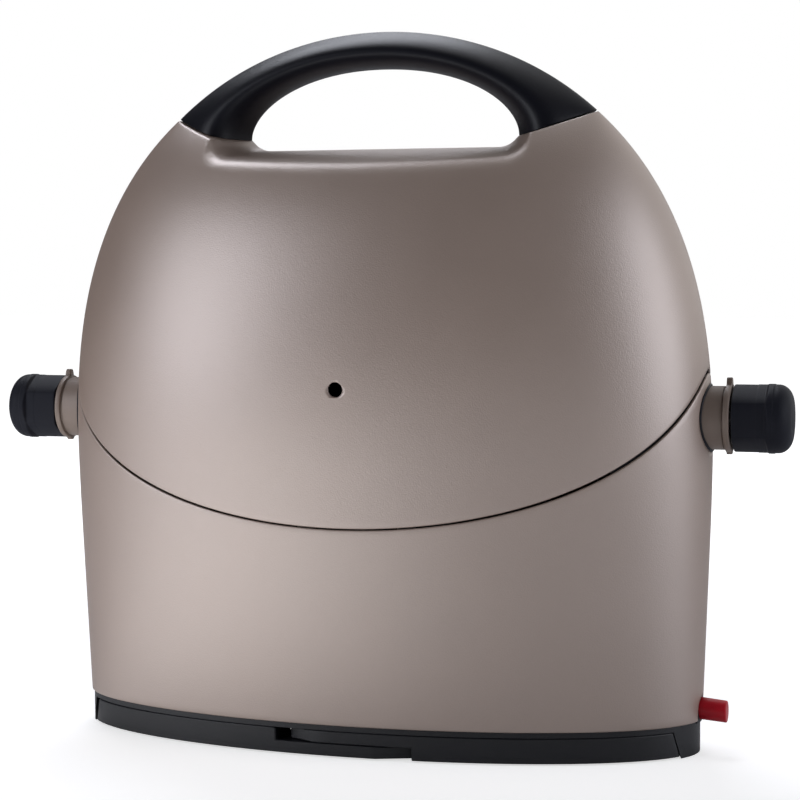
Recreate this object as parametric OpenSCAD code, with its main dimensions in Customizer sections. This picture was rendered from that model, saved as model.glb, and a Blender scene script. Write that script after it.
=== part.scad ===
// Portable two-wing gas grill, closed, standing on its base.
// Sizes are in millimetres. X runs along the knob axis, front is -Y, Z is up from the table.

/* [Body] */
// Width of the body at its waist
body_w = 364.6; // [356:0.2:372]
// Width of the body at its foot
foot_w = 354.6; // [348:0.2:358]
// Depth of the body above the waist
body_d = 181.4; // [176:0.2:188]
// Depth of the body at its foot
foot_d = 137.8; // [134:0.2:142]
// Height to the top of the handle
total_h = 390; // [384:1:396]
// Thickness of the pressed sheet
wall = 1.6; // [1.4:0.1:1.7]
// Height of the lowest point of the smile seam
seam_z = 124.4; // [120:0.2:128]
// Height of the tops of the two ears
ear_top = 204.4; // [202:0.2:207]
// Rounding of the ears where the two seams meet
ear_round = 16; // [12:1:20]
// Open gap along the seam
seam_gap = 1.4; // [1.4:0.1:2]
// Diameter of the lighting hole in each wing
hole_d = 8; // [6:0.5:9]

/* [Handle] */
// Half width of the hand hole
hand_half = 77; // [72:1:80]
// Thickness of the grip, top to underside
grip_h = 20.5; // [18:0.5:24]
// Half depth of the grip at its middle
grip_depth = 17; // [14:0.5:20]
// Half width over the feet of the handle
leg_out = 119.5; // [117:0.5:123]

/* [Hinges] */
// Hinge axis behind the front face
pivot_in = 8; // [7.8:0.1:8.2]
// Hinge axis above the low point of the seam
pivot_up = 15.5; // [15.3:0.1:16]
// Diameter of the hinge pins
hinge_pin_d = 3.2; // [3:0.1:3.4]

/* [Cooking parts] */
// Thickness of each grill plate without its ribs
plate_t = 5; // [4:0.5:6]
// Height of the ribs
rib_h = 5; // [3:0.5:6]
// Diameter of the burner tube
burner_d = 10; // [8:0.5:11]

/* [Gas] */
// Height of the knob axis
knob_z = 180.65; // [178:0.5:183]
// Diameter of the knobs
knob_d = 37; // [34:0.5:38]
// Length of the knobs
knob_l = 31.3; // [28:0.1:34]
// Diameter of the collars
collar_d = 34; // [32:0.5:35]
// Height of the gas inlet
inlet_z = 24; // [23.5:0.5:25]
// Diameter of the red cap
cap_d = 12; // [11:0.5:13]

/* [Base] */
// Height of the black base
base_h = 17.8; // [16.8:0.2:18.8]
// Thickness of its top plate
plate_rim = 3; // [2.6:0.1:3.2]
// Width of the band of each swing-out foot
band_w = 26; // [22:1:28]
// Diameter of the foot pivots
foot_pin_d = 6; // [5:0.5:7]

/* [Hidden] */
$fn = 48;
// parting gap on each side of the middle plane
part_gap = 0.15;
// running gap between moving pieces
run = 0.3;
// radial play of a running pin
pin_play = 0.05;
waist_z = 150;
depth_z = 200;
arch_power = 2.7;
dome_close = total_h - 192;
// level where the dome rolls over into the hand scoop
lip_z = total_h - 74;
saddle_z = total_h - 64;
// end of the ridge under the handle feet
ridge_x = leg_out - 3;
ridge_z = total_h - 47.6;
leg_in_z = total_h - 58;
grip_under = total_h - grip_h;

// smaller of two values, eased over a band of k
function soft_min(a, b, k) = min(a, b) - pow(max(k - abs(a - b), 0), 2)/(4*k);
waist_ease = 0.26;
depth_ease = 0.248;
// share of the flare reached at a level, eased into an upright wall at the upper end
function flare(z, end, ease) = soft_min((z - base_h)/(end - base_h), 1, ease);
// half width of the body at a level
function half_w(z) = (foot_w/2 + (body_w - foot_w)/2*flare(z, waist_z, waist_ease))
    *(z <= waist_z ? 1 : sqrt(max(0, 1 - pow((z - waist_z)/(total_h - waist_z), arch_power))));
// half depth of the body at a level
function half_d(z) = (foot_d/2 + (body_d - foot_d)/2*flare(z, depth_z, depth_ease))
    *(z <= waist_z ? 1 : sqrt(max(0, 1 - pow((z - waist_z)/dome_close, 3))));
// level of the arch above a half width
function arch_z(x) = waist_z + (total_h - waist_z)*pow(max(0, 1 - pow(x/(body_w/2), 2)), 1/arch_power);

seam_d = half_d(seam_z);
// rise of the seam for each millimetre of depth, so that the ears reach their height
seam_slope = (ear_top - seam_z)/(sqrt(seam_d*seam_d + ear_round*ear_round) - ear_round);
// level of the seam for a depth on the skin
function seam_of(y) = seam_z
    + seam_slope*(sqrt(seam_d*seam_d + ear_round*ear_round) - sqrt(y*y + ear_round*ear_round));
// level of the seam on the skin at a plan angle
function seam_at(t) = seam_of(half_d(seam_of(half_d(waist_z)*sin(t)))*sin(t));

pivot_z = seam_z + pivot_up;
pivot_y = half_d(pivot_z) - pivot_in;
knuckle_r = 3.3;

// plan depth of the skin at a half width and level, inset by off
function skin_y(x, z, off) = (half_d(z) - off)*sqrt(max(0, 1 - pow(x/(half_w(z) - off), 2)));
// plan half width of the skin at a depth and level, inset by off
function skin_x(y, z, off) = (half_w(z) - off)*sqrt(max(0, 1 - pow(y/max(half_d(z) - off, 1), 2)));

// level of the ridge on the parting plane under the handle
function ridge_of(x) = abs(x) <= hand_half - 8 ? saddle_z
    : abs(x) <= hand_half ? saddle_z + (leg_in_z - saddle_z)*(abs(x) - hand_half + 8)/8
    : leg_in_z + (ridge_z - leg_in_z)*(abs(x) - hand_half)/(ridge_x - hand_half);

// grid sizes of the pressed skins
tub_cols = 64;
tub_rows = 6;
wing_cols = 40;
wing_rows = 9;
cap_rows = 4;

// index helpers for two stacked grids of points
function quad(a, b, c, d) = [[a, b, c], [a, c, d]];
// a cell whose diagonal is turned in one half of the grid, so that no facet lies flat on the parting plane
function cell(turned, a, b, c, d) = turned ? quad(b, c, d, a) : quad(a, b, c, d);

// solid between an outer and an inner grid of points, columns by rows
module two_skins(outer, inner, closed) {
    cols = len(outer);
    rows = len(outer[0]);
    n = cols*rows;
    pts = concat([for (c = outer) for (p = c) p], [for (c = inner) for (p = c) p]);
    last = closed ? cols - 1 : cols - 2;
    top = rows - 1;
    o = [for (i = [0:cols]) [for (j = [0:top]) (i % cols)*rows + j]];
    // the edge strips come first, so that the sewn shell faces outward
    faces = concat(
        [for (i = [0:last]) each quad(o[i][0], o[i + 1][0], n + o[i + 1][0], n + o[i][0])],
        [for (i = [0:last]) each quad(o[i + 1][top], o[i][top], n + o[i][top], n + o[i + 1][top])],
        closed ? [] : [for (j = [0:top - 1]) each quad(o[0][j + 1], o[0][j], n + o[0][j], n + o[0][j + 1])],
        closed ? [] : [for (j = [0:top - 1])
            each quad(o[cols - 1][j], o[cols - 1][j + 1], n + o[cols - 1][j + 1], n + o[cols - 1][j])],
        [for (i = [0:last]) for (j = [0:top - 1])
            each cell(2*i < last, o[i][j], o[i][j + 1], o[i + 1][j + 1], o[i + 1][j])],
        [for (i = [0:last]) for (j = [0:top - 1])
            each cell(2*i < last, n + o[i][j], n + o[i + 1][j], n + o[i + 1][j + 1], n + o[i][j + 1])]);
    polyhedron(points = pts, faces = faces, convexity = 8);
}

// one column of the tub skin
function tub_column(t, off) = [for (j = [0:tub_rows])
    let (z = base_h + (seam_at(t) - base_h)*j/tub_rows)
    [(half_w(z) - off)*cos(t), (half_d(z) - off)*sin(t), z]];

// share of the way from the lip contour to the ridge, kept on the arch at the ends
function cap_share(k) = let (z = lip_z + (ridge_z - lip_z)*sin(90*k))
    (half_w(z) - ridge_x)/(half_w(lip_z) - ridge_x);

// one column of the front wing skin, from the seam up over the lip to the ridge
function wing_column(t, off) = concat(
    [for (j = [0:wing_rows])
        let (z0 = seam_at(t) + seam_gap, z = z0 + (lip_z - off - z0)*j/wing_rows)
        [(half_w(z + off*0.6) - off)*cos(t), (half_d(z + off*0.6) - off)*sin(t) - part_gap, z]],
    [for (k = [1:cap_rows])
        let (x0 = (half_w(lip_z) - off)*cos(t),
             y0 = (half_d(lip_z) - off)*sin(t),
             xr = x0*(ridge_x - off)/(half_w(lip_z) - off),
             s = k/cap_rows,
             x = xr + (x0 - xr)*cap_share(s))
        [x, y0*cos(90*s) - part_gap, lip_z - off + (ridge_of(xr) - lip_z)*sin(90*s)]]);

// plan angles of the front wing columns
function wing_angle(i) = 180 + 180*i/wing_cols;

// closed block under the outer skin of the front wing
module wing_block() {
    outer = [for (i = [0:wing_cols]) wing_column(wing_angle(i), 0)];
    inner = [for (c = outer) [for (p = c) [p[0], 6, p[2]]]];
    two_skins(outer, inner, false);
}

// prism along X over a profile of [y, z] points
module prism_x(x0, x1, pts) {
    translate([x0, 0, 0]) rotate([90, 0, 90]) linear_extrude(x1 - x0) polygon(pts);
}

// prism along Y over an outline of [x, z] points
module prism_y(y0, y1, pts) {
    translate([0, y1, 0]) rotate([90, 0, 0]) linear_extrude(y1 - y0) polygon(pts);
}

// cylinder along X
module rod_x(x0, x1, r, y, z) {
    translate([min(x0, x1), y, z]) rotate([0, 90, 0]) cylinder(r = r, h = abs(x1 - x0));
}

// cylinder along Y
module rod_y(y0, y1, r, x, z) {
    translate([x, y1, z]) rotate([90, 0, 0]) cylinder(r = r, h = y1 - y0);
}

// plan ellipse as a polygon
module oval(a, b, n = 96) {
    polygon([for (i = [0:n - 1]) [a*cos(360*i/n), b*sin(360*i/n)]]);
}

// fixed pieces of the tub
ear_x = half_w(knob_z);
collar_in = ear_x - 11;
flange_x = ear_x + 8;
collar_out = ear_x + 11;
knob_x = collar_out + 1.2;
valve_out = ear_x - 4;
// the risers stand clear of the collars and of the gas inlet
riser_x = min(ear_x - 24, foot_w/2 - 19.4);
valve_in = riser_x - 8;
jet_x = valve_in - 7.5;
mouth_x = jet_x - 2.5;
// arched tab of the base round the gas inlet, and the inner end of the cap in it
tab_r = cap_d/2 + 1.5;
cap_in = foot_w/2 - 2.6;

// pressed lower body with its two ears
module tub_shell() {
    difference() {
        two_skins([for (i = [0:tub_cols - 1]) tub_column(360*i/tub_cols, 0)],
                  [for (i = [0:tub_cols - 1]) tub_column(360*i/tub_cols, wall)], true);
        for (s = [-1, 1]) rod_x(s*(ear_x - 32), s*(ear_x + 28), collar_d/2 + 0.05, 0, knob_z);
        rod_x(foot_w/2 - 27, foot_w/2 + 23, tab_r + run, 0, inlet_z);
        translate([foot_w/2 - 27, -tab_r - run, 0]) cube([50, 2*(tab_r + run), inlet_z]);
    }
}

// swing-out foot sizes
out_a = foot_w/2 - 1.2;
out_b = foot_d/2 - 1.2;
heel_x = foot_w/2 - 31.3;
heel_y = foot_d/2 - 45.9;
heel_top = 19.3;
heel_low = 22.7;
// room round a heel, wider at the corners that show a dark slot
heel_room = 0.5;
slot_room = 4;
foot_z0 = 1;
foot_z1 = base_h - plate_rim - run;
lap_z = (foot_z0 + foot_z1)/2;
// half laps of the two front feet: ends of blocks and tongues, and where the tongues leave the outline
left_block = -43;
over_end = -36;
over_flush = -21;
under_flush = 12.6;
under_end = 33.2;
right_block = 33.5;
tongue_back = 6.5;
function front_y(x) = out_b*sqrt(1 - pow(x/out_a, 2));
function heel_r(z) = heel_low + (heel_top - heel_low)*(z - foot_z0)/(foot_z1 - foot_z0);

// cone of a heel between two levels, with room round it
module heel_cone(z0, z1, room) {
    translate([0, 0, z0]) cylinder(r1 = heel_r(z0) + room, r2 = heel_r(z1) + room, h = z1 - z0);
}

// black base: top plate, locating ring, end blocks and inlet tab
module base_plate() {
    under = base_h - plate_rim;
    difference() {
        union() {
            translate([0, 0, under]) linear_extrude(plate_rim) oval(out_a, out_b);
            translate([0, 0, base_h]) linear_extrude(3) difference() {
                oval(foot_w/2 - wall - 0.5, foot_d/2 - wall - 0.5);
                oval(foot_w/2 - wall - 6, foot_d/2 - wall - 6);
            }
            difference() {
                linear_extrude(under) intersection() {
                    oval(out_a, out_b);
                    union() {
                        translate([heel_x, -60]) square([40, 120]);
                        translate([-heel_x - 40, -60]) square([40, 120]);
                    }
                }
                for (s = [-1, 1]) for (v = [-1, 1]) translate([s*heel_x, v*heel_y, 0])
                    heel_cone(-1, under, s*v > 0 ? slot_room : heel_room);
            }
            intersection() {
                union() {
                    rod_x(foot_w/2 - 17, foot_w/2 + 13, tab_r, 0, inlet_z);
                    translate([foot_w/2 - 17, -tab_r, base_h - 1]) cube([30, 2*tab_r, inlet_z - base_h + 1]);
                }
                translate([0, 0, base_h - 1]) linear_extrude(24) difference() {
                    oval(foot_w/2 - 0.2, foot_d/2 - 0.2);
                    oval(foot_w/2 - 5, foot_d/2 - 5);
                }
            }
        }
        rod_x(foot_w/2 - 27, foot_w/2 + 23, 4.3, 0, inlet_z);
        rod_x(cap_in - run, foot_w/2 + 23, cap_d/2 + run, 0, inlet_z);
        translate([foot_w/2 - 37, -4.3, inlet_z - 20]) cube([31, 8.6, 40]);
        translate([-foot_w/2 + 5, -4.3, base_h]) cube([31, 8.6, 20]);
        for (s = [-1, 1]) for (v = [-1, 1])
            translate([s*heel_x, v*heel_y, 0]) cylinder(d = foot_pin_d + 0.02, h = 40);
    }
}

// four pivot screws of the swing-out feet
module foot_pins() {
    for (s = [-1, 1]) for (v = [-1, 1]) translate([s*heel_x, v*heel_y, 0]) {
        translate([0, 0, foot_z0 + 1]) cylinder(d = foot_pin_d, h = base_h + 2 - foot_z0 - 1);
        translate([0, 0, base_h]) cylinder(d = foot_pin_d + 5, h = 2.6, $fn = 6);
    }
}

// band of a front foot between two ovals and two levels
module foot_band(x0, x1, z0, z1) {
    translate([0, 0, z0]) linear_extrude(z1 - z0) intersection() {
        difference() {
            oval(out_a, out_b);
            oval(out_a - band_w, out_b - band_w);
        }
        translate([x0, -100]) square([x1 - x0, 100 - 2]);
    }
}

// conical heel of a foot, trimmed to the outline
module foot_heel(s) {
    intersection() {
        translate([0, 0, foot_z0]) linear_extrude(foot_z1 - foot_z0) oval(out_a, out_b);
        translate([s*heel_x, -heel_y, 0]) heel_cone(foot_z0, foot_z1, 0);
    }
}

// bore for the pivot screw and pocket for the rubber pad
module foot_cuts(s, pad_x, pad_y) {
    translate([s*heel_x, -heel_y, -1]) cylinder(d = foot_pin_d + 2*pin_play, h = 30);
    translate([pad_x, pad_y, -1]) cylinder(d = 14, h = 3.2);
}

// wedge that sets the end of a tongue back from the outline, between two levels
module tongue_wedge(flush, end, z0, z1) {
    past = end + sign(end - flush);
    translate([0, 0, z0]) linear_extrude(z1 - z0) polygon([
        [flush, -front_y(flush) - 0.3], [past, -front_y(end) + tongue_back], [past, -100], [flush, -100]]);
}

pad_left = [-26, -54];
pad_right = [70, -50];

// left front foot: full height, then a tongue that runs under its neighbour
module foot_front_left() {
    difference() {
        union() {
            foot_heel(-1);
            foot_band(-heel_x, left_block, foot_z0, foot_z1);
            foot_band(-heel_x, under_end, foot_z0, lap_z - run/2);
        }
        foot_cuts(-1, pad_left[0], pad_left[1]);
        tongue_wedge(under_flush, under_end, foot_z0 - 1, lap_z);
    }
}

// right front foot: full height, then a tongue that runs over its neighbour
module foot_front_right() {
    difference() {
        union() {
            foot_heel(1);
            foot_band(right_block, heel_x, foot_z0, foot_z1);
            foot_band(over_end, heel_x, lap_z + run/2, foot_z1);
        }
        foot_cuts(1, pad_right[0], pad_right[1]);
        tongue_wedge(over_flush, over_end, lap_z, foot_z1 + 1);
    }
}

// rubber pad under a foot
module pad(p) {
    translate([p[0], p[1], 0]) cylinder(d = 13.9, h = foot_z0 + 1.15);
}

// collar that guides a knob, with its flange and pointer lugs
module collar(s) {
    mirror([s < 0 ? 1 : 0, 0, 0]) difference() {
        union() {
            rod_x(collar_in, collar_out, collar_d/2, 0, knob_z);
            rod_x(flange_x, collar_out, collar_d/2 + 1.2, 0, knob_z);
            translate([flange_x, -2.2, knob_z]) cube([collar_out - flange_x, 4.4, collar_d/2 + 4.7]);
            translate([flange_x, -1.6, knob_z - collar_d/2 - 2.4])
                cube([collar_out - flange_x, 3.2, collar_d/2]);
        }
        rod_x(collar_in + 3, collar_out + 1, collar_d/2 - 4, 0, knob_z);
        rod_x(collar_in - 1, collar_out, 8.55, 0, knob_z);
    }
}

// gas valve with its jet, fed from below
module valve(s) {
    mirror([s < 0 ? 1 : 0, 0, 0]) difference() {
        union() {
            rod_x(valve_in, valve_out, 8.5, 0, knob_z);
            rod_x(jet_x, valve_in, 3.5, 0, knob_z);
            translate([riser_x, 0, knob_z - 17]) cylinder(r = 6.5, h = 17);
        }
        rod_x(valve_out - 9, valve_out + 1, 3.5 + pin_play, 0, knob_z);
        rod_x(jet_x - 1, valve_in + 10, 0.6, 0, knob_z);
    }
}

// gas pipe along the floor, up to both valves, with the inlet nipple at the right
module manifold() {
    difference() {
        union() {
            rod_x(-riser_x, foot_w/2 - 5, 3.8, 0, inlet_z);
            rod_x(foot_w/2 - 7, foot_w/2 + 9, 4.2, 0, inlet_z);
            for (s = [-1, 1]) translate([s*riser_x, 0, inlet_z]) cylinder(r = 3.8, h = knob_z - 17 - inlet_z);
            for (s = [-1, 1]) translate([s*riser_x, 0, inlet_z]) sphere(r = 4.8);
        }
        rod_x(foot_w/2 - 17, foot_w/2 + 10, 2.4, 0, inlet_z);
    }
}

// hinge bracket of the front wing, standing on the base
module hinge_bracket() {
    post_y = pivot_y - 17.5;
    foot_y = min(post_y, foot_d/2 - wall - 9.3);
    translate([-40, -foot_y, base_h]) cube([80, 24, 3]);
    for (s = [-1, 1]) difference() {
        union() {
            prism_x(s*28 - 4, s*28 + 4, [
                [-foot_y, base_h], [-post_y, pivot_z - knuckle_r], [-pivot_y, pivot_z - knuckle_r],
                [-pivot_y, pivot_z + knuckle_r], [-post_y + 8, pivot_z + knuckle_r],
                [-foot_y + 8, base_h + 20], [-foot_y + 20, base_h + 3], [-foot_y + 20, base_h]]);
            rod_x(s*28 - 4, s*28 + 4, knuckle_r, -pivot_y, pivot_z);
        }
        rod_x(s*28 - 5, s*28 + 5, hinge_pin_d/2 + 0.01, -pivot_y, pivot_z);
    }
}

// hinge pin of the front wing
module hinge_pin() {
    rod_x(-43, 43, hinge_pin_d/2, -pivot_y, pivot_z);
}

// hinge leaf of the front wing: four lugs on a strap, riveted to the skin
module hinge_leaf() {
    leaf_y = pivot_y + 2.2;
    difference() {
        union() {
            translate([-42, -leaf_y - 1.6, pivot_z + 11]) cube([84, 1.6, 28]);
            for (s = [-1, 1]) for (x = [18.8, 37.2]) {
                prism_x(s*x - 4.8, s*x + 4.8, [
                    [-pivot_y - knuckle_r, pivot_z], [-pivot_y + knuckle_r, pivot_z],
                    [-pivot_y + 1, pivot_z + 30], [-leaf_y, pivot_z + 39],
                    [-leaf_y - 1.6, pivot_z + 39], [-leaf_y - 1.6, pivot_z + 9]]);
                rod_x(s*x - 4.8, s*x + 4.8, knuckle_r, -pivot_y, pivot_z);
            }
            for (s = [-1, 1])
                rod_y(-skin_y(32, pivot_z + 24, wall) + 0.1, -leaf_y, 4, s*28, pivot_z + 27);
        }
        for (s = [-1, 1]) for (x = [18.8, 37.2])
            rod_x(s*x - 6, s*x + 6, hinge_pin_d/2 + pin_play, -pivot_y, pivot_z);
    }
}

hole_z = 199;
// pressed skin of the front wing
module wing_shell() {
    difference() {
        two_skins([for (i = [0:wing_cols]) wing_column(wing_angle(i), 0)],
                  [for (i = [0:wing_cols]) wing_column(wing_angle(i), wall)], false);
        rod_y(-120, -60, hole_d/2, 0, hole_z);
    }
}

// stations of the handle from the left foot to the right foot
hand_n = 24;
function hand_s(i) = -1 + 2*i/hand_n;
function hand_out(s) = let (x = leg_out*sin(80*s)/sin(80)) [x, arch_z(x)];
function hand_in(s) = let (x = hand_half*sin(80*s)/sin(80), q = min(1, abs(x)/hand_half))
    [x, leg_in_z + (grip_under - leg_in_z)*pow(max(0, 1 - pow(q, 2.1)), 0.53)];
hand_psi = [for (k = [0:10]) 180*k/10];
function soft(v, p) = sign(v)*pow(abs(v), p);
// share of the way from the outer to the inner edge at an angle of the section
function hand_e(a) = (1 - soft(cos(a), 0.8))/2;
// seat of a foot of the handle on the dome: outline depth, brought back to the middle plane at its inner side
inner_side = 0.28;
function seat_z(e) = arch_z(leg_out) + (leg_in_z - arch_z(leg_out))*e;
function seat_y(e) = skin_y(leg_out + (hand_half - leg_out)*e, seat_z(e), 0)*min(1, (1 - e)/inner_side);
// depth of the section: a rounded grip eased into the outline of the dome
function hand_depth(s, a) = let (k = pow(abs(s), 2.6))
    grip_depth*pow(sin(a), 0.8)*(1 - k) + seat_y(hand_e(a))*k;
// section points of the front half handle between its outer and inner edges
function hand_section(o, i, s) = [for (a = hand_psi)
    let (p = o + (i - o)*hand_e(a)) [p[0], -part_gap - hand_depth(s, a), p[1]]];
function hand_root(s) = hand_section([s*(half_w(lip_z + 6) - 6), lip_z + 6], [s*(hand_half + 2), lip_z - 4], s);
hand_sections = concat(
    [hand_root(-1)],
    [for (k = [0:hand_n]) hand_section(hand_out(hand_s(k)), hand_in(hand_s(k)), hand_s(k))],
    [hand_root(1)]);

// front half of the handle, seated on the wing skin
module half_handle() {
    m = len(hand_psi);
    n = len(hand_sections);
    difference() {
        polyhedron(
            points = [for (s = hand_sections) for (p = s) p],
            faces = concat(
                [for (i = [0:n - 2]) for (k = [0:m - 1])
                    each quad(i*m + k, i*m + (k + 1) % m, (i + 1)*m + (k + 1) % m, (i + 1)*m + k)],
                [[for (k = [m - 1:-1:0]) k]],
                [[for (k = [0:m - 1]) (n - 1)*m + k]]),
            convexity = 6);
        wing_block();
    }
}

// fire pan of the front wing
pan_y0 = 50;
pan_y1 = 19;
pan_bottom = 160;
pan_top = total_h - 98;
pan_n = 12;
function pan_half(z) = skin_x(pan_y0, z, wall + 2) - 2;
function pan_level(inset, k) = pan_bottom + inset + (pan_top - pan_bottom - 2*inset)*k/pan_n;
function pan_outline(inset) = concat(
    [for (k = [0:pan_n]) let (z = pan_level(inset, k)) [pan_half(z) - inset, z]],
    [for (k = [pan_n:-1:0]) let (z = pan_level(inset, k)) [-pan_half(z) + inset, z]]);
burner_y = pivot_y - (knob_z - pivot_z);
mouth_z = pivot_z - pivot_y;
loop_x = 118;
loop_z = pan_top - 20;
loop_r = 30;
elbow_r = 12;
// bends are drawn a little thinner, and the straight tubes lap over their ends
bend_thin = 0.4;
joint = 1.2;

// shallow steel tray behind the burner, open towards the grill plate
module fire_pan() {
    difference() {
        prism_y(-pan_y0, -pan_y1, pan_outline(0));
        prism_y(-pan_y0 + 1.2, -pan_y1 + 1, pan_outline(1.2));
        translate([-loop_x - 8, -burner_y - 8, pan_bottom - 5]) cube([16, 40, 12]);
    }
}

stud_low = pan_bottom + 18;
stud_high = pan_top - 34;
// studs that hold the pan to the skin
module pan_studs() {
    for (s = [-1, 1]) {
        rod_y(-skin_y(64, stud_low, wall) + 0.1, -pan_y0, 3.5, s*60, stud_low);
        rod_y(-skin_y(54, stud_high + 4, wall) + 0.6, -pan_y0, 3.5, s*50, stud_high);
    }
}

// quarter bend of a tube in the plane of the burner, centre c, from angle a
module bend(c, r, a) {
    translate([c[0], -burner_y, c[1]]) rotate([90, 0, 0]) rotate([0, 0, a])
        rotate_extrude(angle = 90) translate([r, 0]) circle(d = burner_d - bend_thin);
}

// burner tube: mouth, elbow, riser and loop
module burner() {
    difference() {
        union() {
            rod_x(-mouth_x, -loop_x - elbow_r + joint, burner_d/2, -burner_y, mouth_z);
            rod_x(-mouth_x, -mouth_x + 6, burner_d/2 + 1.2, -burner_y, mouth_z);
            bend([-loop_x - elbow_r, mouth_z + elbow_r], elbow_r, 270);
            translate([-loop_x, -burner_y, mouth_z + elbow_r - joint])
                cylinder(d = burner_d, h = loop_z - loop_r - mouth_z - elbow_r + 2*joint);
            bend([-loop_x + loop_r, loop_z - loop_r], loop_r, 90);
            rod_x(-loop_x + loop_r - joint, loop_x - loop_r + joint, burner_d/2, -burner_y, loop_z);
            bend([loop_x - loop_r, loop_z - loop_r], loop_r, 0);
            translate([loop_x, -burner_y, pan_bottom + 12])
                cylinder(d = burner_d, h = loop_z - loop_r - pan_bottom - 12 + joint);
            for (s = [-1, 1]) rod_y(-pan_y0 + 1.2, -burner_y, 3, s*60, loop_z);
        }
        rod_x(-mouth_x - 1, -loop_x - elbow_r, burner_d/2 - 1.5, -burner_y, mouth_z);
        for (x = [-80:10:80]) rod_y(-burner_y, -burner_y + burner_d, 0.9, x, loop_z);
    }
}

// grill plate of the front wing
plate_y0 = pan_y1;
plate_y1 = pan_y1 - plate_t;
plate_low = 110;
plate_step = 196;
plate_top = total_h - 84;
plate_n = 10;
low_half = 98;
function plate_half(z) = skin_x(plate_y0, z, wall + 3) - 3;
plate_side = [for (k = [0:plate_n])
    let (z = plate_step + (plate_top - plate_step)*k/plate_n) [plate_half(z), z]];
plate_outline = concat(
    [[-low_half + 8, plate_low], [low_half - 8, plate_low], [low_half, plate_low + 8], [low_half, plate_step]],
    plate_side,
    [for (k = [plate_n:-1:0]) [-plate_side[k][0], plate_side[k][1]]],
    [[-low_half, plate_step], [-low_half, plate_low + 8]]);

// ribbed cast plate that faces the parting plane
module grill_plate() {
    prism_y(-plate_y0, -plate_y1, plate_outline);
    for (k = [-9:9]) {
        x = k*10;
        prism_y(-plate_y1, -plate_y1 + rib_h, [
            [x - 2, plate_low + 8], [x + 2, plate_low + 8], [x + 2, plate_top - 8], [x - 2, plate_top - 8]]);
    }
    for (s = [-1, 1]) for (k = [10:13]) {
        x = s*k*10;
        prism_y(-plate_y1, -plate_y1 + rib_h, [[x - 2, plate_step + 6], [x + 2, plate_step + 6],
                                              [x + 2, plate_top - 28], [x - 2, plate_top - 28]]);
    }
}

// knob: a drum with six finger flats, a plain ring, a domed end and a hollow back
flat_in = 1.8;
flat_l = 19;
dome_l = 8;
corner_in = 0.3;
module knob(s) {
    r = knob_d/2;
    drum = knob_l - dome_l;
    mirror([s < 0 ? 1 : 0, 0, 0]) translate([knob_x, 0, knob_z]) rotate([0, 90, 0]) difference() {
        union() {
            intersection() {
                cylinder(r = r - corner_in, h = drum);
                cylinder(r = (r - flat_in)/cos(30), h = drum, $fn = 6);
            }
            rotate_extrude() polygon([
                [0, flat_l], [r, flat_l], [r, drum], [r - 2.5, drum + 0.5*dome_l],
                [r - 7.2, drum + 0.8*dome_l], [r - 13.5, knob_l], [0, knob_l]]);
        }
        translate([0, 0, -1]) cylinder(r = 3.52, h = 19);
        translate([0, 0, -1]) difference() {
            cylinder(r = r - 4, h = 11);
            cylinder(r = 6, h = 11);
        }
    }
}

// stem that joins a knob to its valve
module stem(s) {
    mirror([s < 0 ? 1 : 0, 0, 0]) rod_x(valve_out - 8.6, knob_x + 18, 3.5, 0, knob_z);
}

// red cap on the gas inlet
module inlet_cap() {
    difference() {
        rod_x(cap_in, foot_w/2 + 13.6, cap_d/2, 0, inlet_z);
        rod_x(cap_in - 1, foot_w/2 + 9.4, 4.2 + pin_play, 0, inlet_z);
    }
}

// turns a front piece into its rear twin
module rear() {
    rotate([0, 0, 180]) children();
}

paint = [0.66, 0.60, 0.56];
black = [0.13, 0.13, 0.15];
steel = [0.62, 0.63, 0.65];
dark_cast = [0.25, 0.25, 0.26];
brass = [0.75, 0.60, 0.30];
red = [0.60, 0.08, 0.10];
rubber = [0.08, 0.08, 0.08];

color(paint) tub_shell();
color(black) base_plate();
color(steel) foot_pins();
color(paint) collar(-1);  // collar_left
color(paint) collar(1);  // collar_right
color(brass) valve(-1);  // valve_left
color(brass) valve(1);  // valve_right
color(brass) manifold();
color(steel) hinge_bracket();  // bracket_front
color(steel) rear() hinge_bracket();  // bracket_rear
color(steel) hinge_pin();  // pin_front
color(steel) rear() hinge_pin();  // pin_rear
color(paint) wing_shell();  // front_shell
color(black) half_handle();  // front_handle
color(steel) hinge_leaf();  // front_leaf
color(steel) fire_pan();  // front_pan
color(steel) pan_studs();  // front_studs
color(steel) burner();  // front_burner
color(dark_cast) grill_plate();  // front_plate
color(paint) rear() wing_shell();  // rear_shell
color(black) rear() half_handle();  // rear_handle
color(steel) rear() hinge_leaf();  // rear_leaf
color(steel) rear() fire_pan();  // rear_pan
color(steel) rear() pan_studs();  // rear_studs
color(steel) rear() burner();  // rear_burner
color(dark_cast) rear() grill_plate();  // rear_plate
color(black) foot_front_left();  // foot_fl
color(black) foot_front_right();  // foot_fr
color(black) rear() foot_front_right();  // foot_rl
color(black) rear() foot_front_left();  // foot_rr
color(rubber) pad(pad_left);  // pad_fl
color(rubber) pad(pad_right);  // pad_fr
color(rubber) rear() pad(pad_right);  // pad_rl
color(rubber) rear() pad(pad_left);  // pad_rr
color(black) knob(-1);  // knob_left
color(black) knob(1);  // knob_right
color(steel) stem(-1);  // stem_left
color(steel) stem(1);  // stem_right
color(red) inlet_cap();
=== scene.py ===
# %% [markdown]
# # A folding gas grill, dressed around its CAD frame
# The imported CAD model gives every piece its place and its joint. This lesson keeps those places and
# makes the pieces that show as smooth surfaces. They could be modelled by hand, but a formula on a
# grid stays exact, and the tub, both wings and the handle then share the same few curves.

# %% Load the frame
import bmesh
import bpy
import numpy as np
from mathutils import Matrix


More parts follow.
